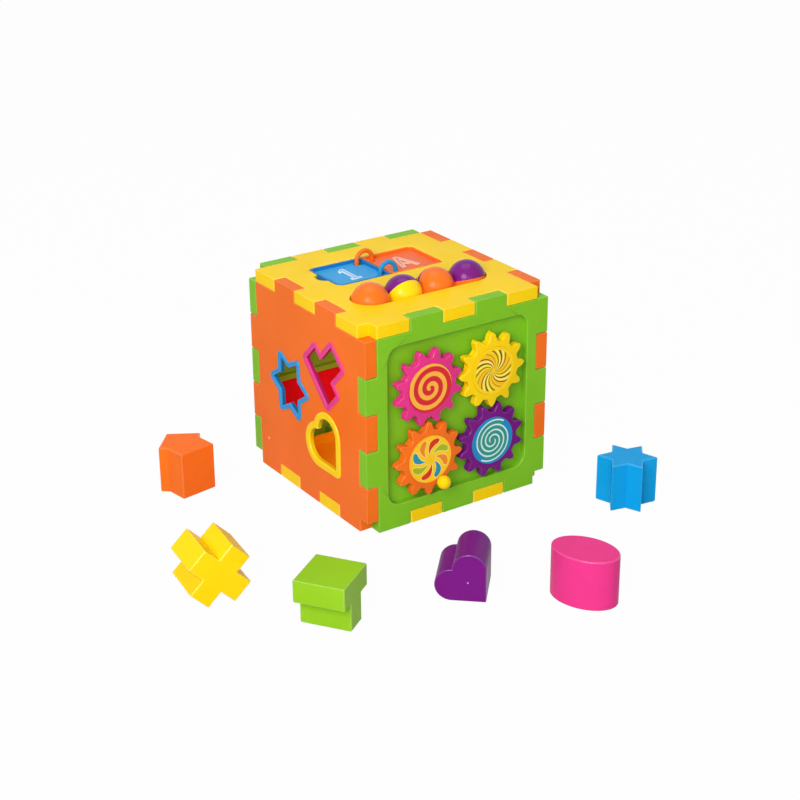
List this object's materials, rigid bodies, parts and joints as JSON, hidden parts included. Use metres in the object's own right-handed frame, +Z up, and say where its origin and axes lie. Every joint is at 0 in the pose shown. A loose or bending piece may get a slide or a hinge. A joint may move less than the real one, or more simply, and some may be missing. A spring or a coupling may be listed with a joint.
{
  "type": "shape sorter",
  "caption": "Cube-shaped shape sorter of interlocking panels with meshing gears, a row of spinning beads, a flip book, framed sorting openings and loose blocks.",
  "frame": {"origin": "centre of the cube's base, on the surface that it stands on", "axes": "+Z up, the gears face -Y, +X to the right when facing the gears, the star, T and heart openings face -X"},
  "size_m": [0.3416, 0.3244, 0.1604],
  "materials": {
    "orange": "smooth moulded plastic",
    "green": "smooth moulded plastic",
    "yellow": "smooth moulded plastic",
    "pink": "smooth moulded plastic",
    "purple": "smooth moulded plastic",
    "blue": "smooth moulded plastic",
    "red": "smooth moulded plastic",
    "steel": "plain steel"
  },
  "bodies": {
    "base": {"base_panel": "yellow"},
    "gear_side": {"gear_panel": "green", "gear_screws": "steel"},
    "left_side": {"left_sorter_panel": "orange", "star_frame": "blue", "tee_frame": "pink", "heart_frame": "yellow"},
    "right_side": {"right_sorter_panel": "orange", "oval_frame": "blue", "cross_frame": "pink", "arrow_frame": "yellow"},
    "back_side": {"back_panel": "green"},
    "lid": {"top_panel": "yellow", "bead_axle": "steel", "blue_ring": "blue", "orange_ring": "orange"},
    "crank_gear": {"orange_crank_gear": "orange", "petal_disc": "yellow", "knob_pin": "steel"},
    "pink_gear": {"pink_gear": "pink", "red_spiral_disc": "red"},
    "purple_gear": {"purple_gear": "purple", "blue_spiral_disc": "blue"},
    "yellow_gear": {"yellow_gear": "yellow", "swirl_disc": "yellow"},
    "knob": {"crank_knob": "yellow"},
    "bead_1": {"bead_1_front": "orange", "bead_1_rear": "orange"},
    "bead_2": {"bead_2_front": "yellow", "bead_2_rear": "purple"},
    "bead_3": {"bead_3_front": "orange", "bead_3_rear": "purple"},
    "bead_4": {"bead_4_top": "purple", "bead_4_under": "orange"},
    "blue_page": {"blue_page": "blue"},
    "orange_page": {"orange_page": "orange"},
    "hatch": {"retrieval_hatch": "red"},
    "star_block": {"star_block": "blue"},
    "tee_block": {"tee_block": "green"},
    "heart_block": {"heart_block": "purple"},
    "oval_block": {"oval_block": "pink"},
    "cross_block": {"cross_block": "yellow"},
    "arrow_block": {"arrow_block": "orange"}
  },
  "joints": [
    {"name": "gear_side_pull", "type": "slide", "parent": "base", "child": "gear_side", "axis": [0, -1, 0], "range_m": [0, 0.02]},
    {"name": "left_side_pull", "type": "slide", "parent": "base", "child": "left_side", "axis": [-1, 0, 0], "range_m": [0, 0.02]},
    {"name": "right_side_pull", "type": "slide", "parent": "base", "child": "right_side", "axis": [1, 0, 0], "range_m": [0, 0.02]},
    {"name": "back_side_pull", "type": "slide", "parent": "base", "child": "back_side", "axis": [0, 1, 0], "range_m": [0, 0.02]},
    {"name": "lid_lift", "type": "slide", "parent": "base", "child": "lid", "axis": [0, 0, 1], "range_m": [0, 0.02]},
    {"name": "crank_gear_turn", "type": "hinge", "parent": "gear_side", "child": "crank_gear", "pos_m": [-0.0269, -0.075, 0.0469], "axis": [0, -1, 0], "continuous": true},
    {"name": "pink_gear_turn", "type": "hinge", "parent": "gear_side", "child": "pink_gear", "pos_m": [-0.0269, -0.075, 0.0991], "axis": [0, -1, 0], "continuous": true},
    {"name": "purple_gear_turn", "type": "hinge", "parent": "gear_side", "child": "purple_gear", "pos_m": [0.0253, -0.075, 0.0469], "axis": [0, -1, 0], "continuous": true},
    {"name": "yellow_gear_turn", "type": "hinge", "parent": "gear_side", "child": "yellow_gear", "pos_m": [0.0253, -0.075, 0.0991], "axis": [0, -1, 0], "continuous": true},
    {"name": "knob_turn", "type": "hinge", "parent": "crank_gear", "child": "knob", "pos_m": [-0.01909, -0.0848, 0.02936], "axis": [0, -1, 0], "continuous": true},
    {"name": "bead_1_turn", "type": "hinge", "parent": "lid", "child": "bead_1", "pos_m": [-0.0399, -0.028, 0.1473], "axis": [1, 0, 0], "continuous": true},
    {"name": "bead_2_turn", "type": "hinge", "parent": "lid", "child": "bead_2", "pos_m": [-0.0133, -0.028, 0.1473], "axis": [1, 0, 0], "continuous": true},
    {"name": "bead_3_turn", "type": "hinge", "parent": "lid", "child": "bead_3", "pos_m": [0.0133, -0.028, 0.1473], "axis": [1, 0, 0], "continuous": true},
    {"name": "bead_4_turn", "type": "hinge", "parent": "lid", "child": "bead_4", "pos_m": [0.0399, -0.028, 0.1473], "axis": [1, 0, 0], "continuous": true},
    {"name": "blue_page_flip", "type": "hinge", "parent": "lid", "child": "blue_page", "pos_m": [-0.001, 0.024, 0.15015], "axis": [0, 1, 0], "range_deg": [0, 180]},
    {"name": "orange_page_flip", "type": "hinge", "parent": "lid", "child": "orange_page", "pos_m": [-0.001, 0.024, 0.15015], "axis": [0, -1, 0], "range_deg": [0, 180]},
    {"name": "hatch_swing", "type": "hinge", "parent": "back_side", "child": "hatch", "pos_m": [0, 0.0728, 0.0584], "axis": [1, 0, 0], "range_deg": [0, 95]},
    {"name": "star_block_lift", "type": "slide", "parent": "base", "child": "star_block", "axis": [0, 0, 1], "range_m": [0, 0.1]},
    {"name": "tee_block_lift", "type": "slide", "parent": "base", "child": "tee_block", "axis": [0, 0, 1], "range_m": [0, 0.1]},
    {"name": "heart_block_lift", "type": "slide", "parent": "base", "child": "heart_block", "axis": [0, 0, 1], "range_m": [0, 0.1]},
    {"name": "oval_block_lift", "type": "slide", "parent": "base", "child": "oval_block", "axis": [0, 0, 1], "range_m": [0, 0.1]},
    {"name": "cross_block_lift", "type": "slide", "parent": "base", "child": "cross_block", "axis": [0, 0, 1], "range_m": [0, 0.1]},
    {"name": "arrow_block_lift", "type": "slide", "parent": "base", "child": "arrow_block", "axis": [0, 0, 1], "range_m": [0, 0.1]}
  ],
  "couplings": [
    {"joint": "pink_gear_turn", "follows": "crank_gear_turn", "ratio": -1},
    {"joint": "purple_gear_turn", "follows": "crank_gear_turn", "ratio": -1},
    {"joint": "yellow_gear_turn", "follows": "crank_gear_turn", "ratio": 1}
  ]
}
